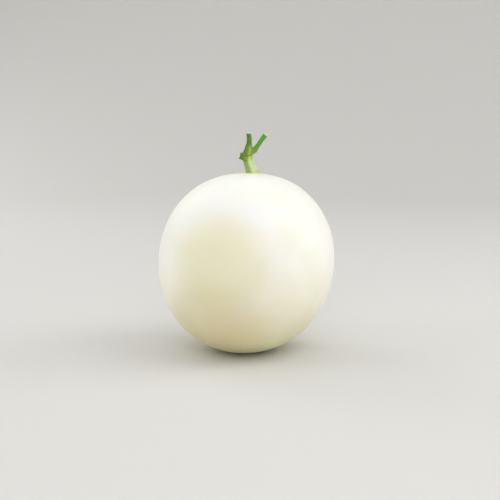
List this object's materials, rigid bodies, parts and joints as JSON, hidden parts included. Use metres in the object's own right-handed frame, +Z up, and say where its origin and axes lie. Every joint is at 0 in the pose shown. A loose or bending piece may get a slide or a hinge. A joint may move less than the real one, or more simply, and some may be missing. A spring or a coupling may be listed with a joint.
{
  "type": "white muskmelon",
  "caption": "Round ivory-white muskmelon with smooth waxy skin, standing on its blossom end, with the green ridged stalk it was cut from the vine by.",
  "frame": {"origin": "on the small flat spot that the fruit stands on, under the middle of the fruit", "axes": "+Z up, from the blossom end to the stalk; -Y faces the camera of the picture, +X to its right"},
  "size_m": [0.1493, 0.1476, 0.1855],
  "materials": {
    "melon_skin": "ivory-white fruit skin, smooth and waxy with a soft sheen",
    "stalk_skin": "fresh green plant stem, matt, ridged and finely hairy, paler towards the fruit"
  },
  "bodies": {
    "root": {"fruit": "melon_skin", "stalk": "stalk_skin"}
  },
  "joints": []
}
